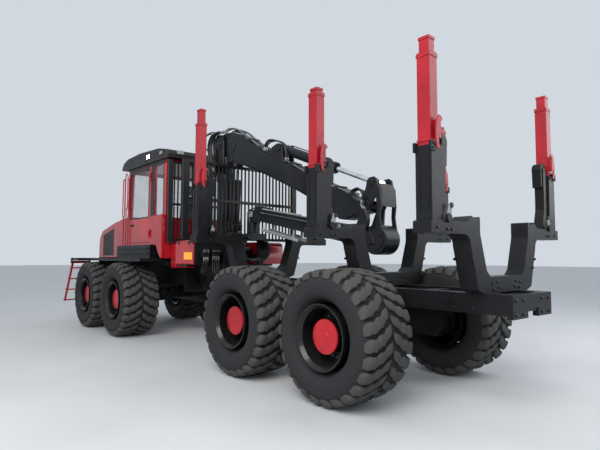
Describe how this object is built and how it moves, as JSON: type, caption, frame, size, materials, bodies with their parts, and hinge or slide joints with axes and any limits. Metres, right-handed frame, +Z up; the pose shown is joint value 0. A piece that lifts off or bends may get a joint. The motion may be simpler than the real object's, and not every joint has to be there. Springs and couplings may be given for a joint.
{
  "type": "forestry forwarder",
  "caption": "Articulated forestry forwarder on bogie axles, with cab, staked bunk, headboard gate and a folded log crane with grapple.",
  "frame": {"origin": "centre of the whole machine's footprint, on the ground", "axes": "+X forward, +Y to the machine's left, +Z up"},
  "size_m": [11.24, 3.01, 4.0099],
  "materials": {
    "tyre": "dusty worn rubber",
    "rim": "gloss black",
    "frame_paint": "satin charcoal, worn",
    "red_paint": "gloss red",
    "stake_red": "satin red",
    "crane_paint": "satin charcoal",
    "glass": "clear, slightly green",
    "dark_plastic": "matte",
    "seat_cloth": "dark cloth",
    "engine_metal": "cast",
    "chrome": "hard chrome",
    "lamp": "clear lamp"
  },
  "bodies": {
    "rear_unit": {"rear_frame": "frame_paint", "rear_bogies": "frame_paint", "bunk_ribs": "frame_paint", "stake_posts": "frame_paint", "stake_sleeves": "stake_red", "gate": "frame_paint", "gate_posts": "frame_paint", "side_boxes": "red_paint", "crane_base": "crane_paint"},
    "front_unit": {"front_frame": "frame_paint", "front_bogies": "frame_paint", "cab_shell": "red_paint", "cab_roof": "dark_plastic", "cab_glass": "glass", "cab_guard": "frame_paint", "seat": "seat_cloth", "engine": "engine_metal", "decks": "frame_paint", "rear_tank": "red_paint", "handrails": "red_paint", "work_lamps": "lamp"},
    "door": {"cab_door": "red_paint", "door_glass": "glass"},
    "hood": {"hood": "red_paint", "hood_grille": "dark_plastic"},
    "ladder": {"ladder": "red_paint"},
    "pillar": {"crane_pillar": "crane_paint"},
    "boom": {"boom": "crane_paint"},
    "jib": {"jib": "crane_paint"},
    "extension": {"jib_extension": "crane_paint"},
    "lift_barrel": {"lift_cylinder": "crane_paint"},
    "lift_piston": {"lift_rod": "chrome"},
    "jib_barrel": {"jib_cylinder": "crane_paint"},
    "jib_piston": {"jib_rod": "chrome"},
    "hanger": {"hanger": "crane_paint"},
    "grapple": {"rotator": "crane_paint", "grapple_head": "crane_paint"},
    "claw_left": {"claw_left": "crane_paint"},
    "claw_right": {"claw_right": "crane_paint"},
    "wheel_1_left": {"tyre_1_left": "tyre", "rim_1_left": "rim"},
    "wheel_2_left": {"tyre_2_left": "tyre", "rim_2_left": "rim"},
    "wheel_3_left": {"tyre_3_left": "tyre", "rim_3_left": "rim"},
    "wheel_4_left": {"tyre_4_left": "tyre", "rim_4_left": "rim"},
    "wheel_1_right": {"tyre_1_right": "tyre", "rim_1_right": "rim"},
    "wheel_2_right": {"tyre_2_right": "tyre", "rim_2_right": "rim"},
    "wheel_3_right": {"tyre_3_right": "tyre", "rim_3_right": "rim"},
    "wheel_4_right": {"tyre_4_right": "tyre", "rim_4_right": "rim"}
  },
  "joints": [
    {"name": "steering", "type": "hinge", "parent": "rear_unit", "child": "front_unit", "pos_m": [0.9, 0, 1.145], "axis": [0, 0, 1], "range_deg": [-40, 40]},
    {"name": "roll_1_left", "type": "hinge", "parent": "front_unit", "child": "wheel_1_left", "pos_m": [3.893, 1.13, 0.75], "axis": [0, 1, 0], "continuous": true},
    {"name": "roll_2_left", "type": "hinge", "parent": "front_unit", "child": "wheel_2_left", "pos_m": [2.131, 1.13, 0.75], "axis": [0, 1, 0], "continuous": true},
    {"name": "roll_3_left", "type": "hinge", "parent": "rear_unit", "child": "wheel_3_left", "pos_m": [-2.219, 1.13, 0.75], "axis": [0, 1, 0], "continuous": true},
    {"name": "roll_4_left", "type": "hinge", "parent": "rear_unit", "child": "wheel_4_left", "pos_m": [-3.981, 1.13, 0.75], "axis": [0, 1, 0], "continuous": true},
    {"name": "roll_1_right", "type": "hinge", "parent": "front_unit", "child": "wheel_1_right", "pos_m": [3.893, -1.13, 0.75], "axis": [0, 1, 0], "continuous": true},
    {"name": "roll_2_right", "type": "hinge", "parent": "front_unit", "child": "wheel_2_right", "pos_m": [2.131, -1.13, 0.75], "axis": [0, 1, 0], "continuous": true},
    {"name": "roll_3_right", "type": "hinge", "parent": "rear_unit", "child": "wheel_3_right", "pos_m": [-2.219, -1.13, 0.75], "axis": [0, 1, 0], "continuous": true},
    {"name": "roll_4_right", "type": "hinge", "parent": "rear_unit", "child": "wheel_4_right", "pos_m": [-3.981, -1.13, 0.75], "axis": [0, 1, 0], "continuous": true},
    {"name": "door", "type": "hinge", "parent": "front_unit", "child": "door", "pos_m": [1.83, 0.872, 2.6], "axis": [0, 0, 1], "range_deg": [0, 85]},
    {"name": "hood_tilt", "type": "hinge", "parent": "front_unit", "child": "hood", "pos_m": [4.996, 0, 1.616], "axis": [0, 1, 0], "range_deg": [0, 60]},
    {"name": "ladder_fold", "type": "hinge", "parent": "front_unit", "child": "ladder", "pos_m": [4.89, 1.285, 1.48], "axis": [0, -1, 0], "range_deg": [0, 140]},
    {"name": "slew", "type": "hinge", "parent": "rear_unit", "child": "pillar", "pos_m": [0.25, 0, 1.9], "axis": [0, 0, -1], "range_deg": [-180, 180]},
    {"name": "boom_lift", "type": "hinge", "parent": "pillar", "child": "boom", "pos_m": [0.25, 0, 3.8], "axis": [0, 1, 0], "range_deg": [0, 75]},
    {"name": "jib_fold", "type": "hinge", "parent": "boom", "child": "jib", "pos_m": [-3.5, 0, 2.32], "axis": [0, 1, 0], "range_deg": [0, 150]},
    {"name": "telescope", "type": "slide", "parent": "jib", "child": "extension", "axis": [0.9826, 0, 0.1857], "range_m": [0, 1.9]},
    {"name": "lift_barrel_swing", "type": "hinge", "parent": "pillar", "child": "lift_barrel", "pos_m": [-0.08, 0, 2.2], "axis": [0, 1, 0], "range_deg": [-12, 12]},
    {"name": "lift_stroke", "type": "slide", "parent": "lift_barrel", "child": "lift_piston", "axis": [-0.0526, 0, 0.9986], "range_m": [0, 0.8]},
    {"name": "jib_barrel_swing", "type": "hinge", "parent": "boom", "child": "jib_barrel", "pos_m": [-1.55, 0, 3.44], "axis": [0, 1, 0], "range_deg": [-12, 12]},
    {"name": "jib_stroke", "type": "slide", "parent": "jib_barrel", "child": "jib_piston", "axis": [-0.9285, 0, -0.3714], "range_m": [-0.85, 0]},
    {"name": "hanger_swing", "type": "hinge", "parent": "extension", "child": "hanger", "pos_m": [-0.672, 0, 2.40703], "axis": [0, -1, 0], "range_deg": [-20, 120]},
    {"name": "rotator", "type": "hinge", "parent": "hanger", "child": "grapple", "pos_m": [-0.672, 0, 2.1], "axis": [0, 0, 1], "continuous": true},
    {"name": "claw_left", "type": "hinge", "parent": "grapple", "child": "claw_left", "pos_m": [-0.672, 0.15, 1.97703], "axis": [1, 0, 0], "range_deg": [0, 65]},
    {"name": "claw_right", "type": "hinge", "parent": "grapple", "child": "claw_right", "pos_m": [-0.672, -0.15, 1.97703], "axis": [-1, 0, 0], "range_deg": [0, 65]}
  ],
  "couplings": [
    {"joint": "slew", "follows": "boom_lift", "ratio": 0.2},
    {"joint": "jib_fold", "follows": "boom_lift", "ratio": 0.35},
    {"joint": "telescope", "follows": "boom_lift", "m_per_rad": 0.61115},
    {"joint": "lift_barrel_swing", "follows": "boom_lift", "ratio": -0.04796},
    {"joint": "lift_stroke", "follows": "boom_lift", "m_per_rad": 0.55654},
    {"joint": "jib_barrel_swing", "follows": "boom_lift", "ratio": -0.01504},
    {"joint": "jib_stroke", "follows": "boom_lift", "m_per_rad": -0.10489},
    {"joint": "hanger_swing", "follows": "boom_lift", "ratio": 1.35},
    {"joint": "claw_right", "follows": "claw_left", "ratio": 1}
  ]
}
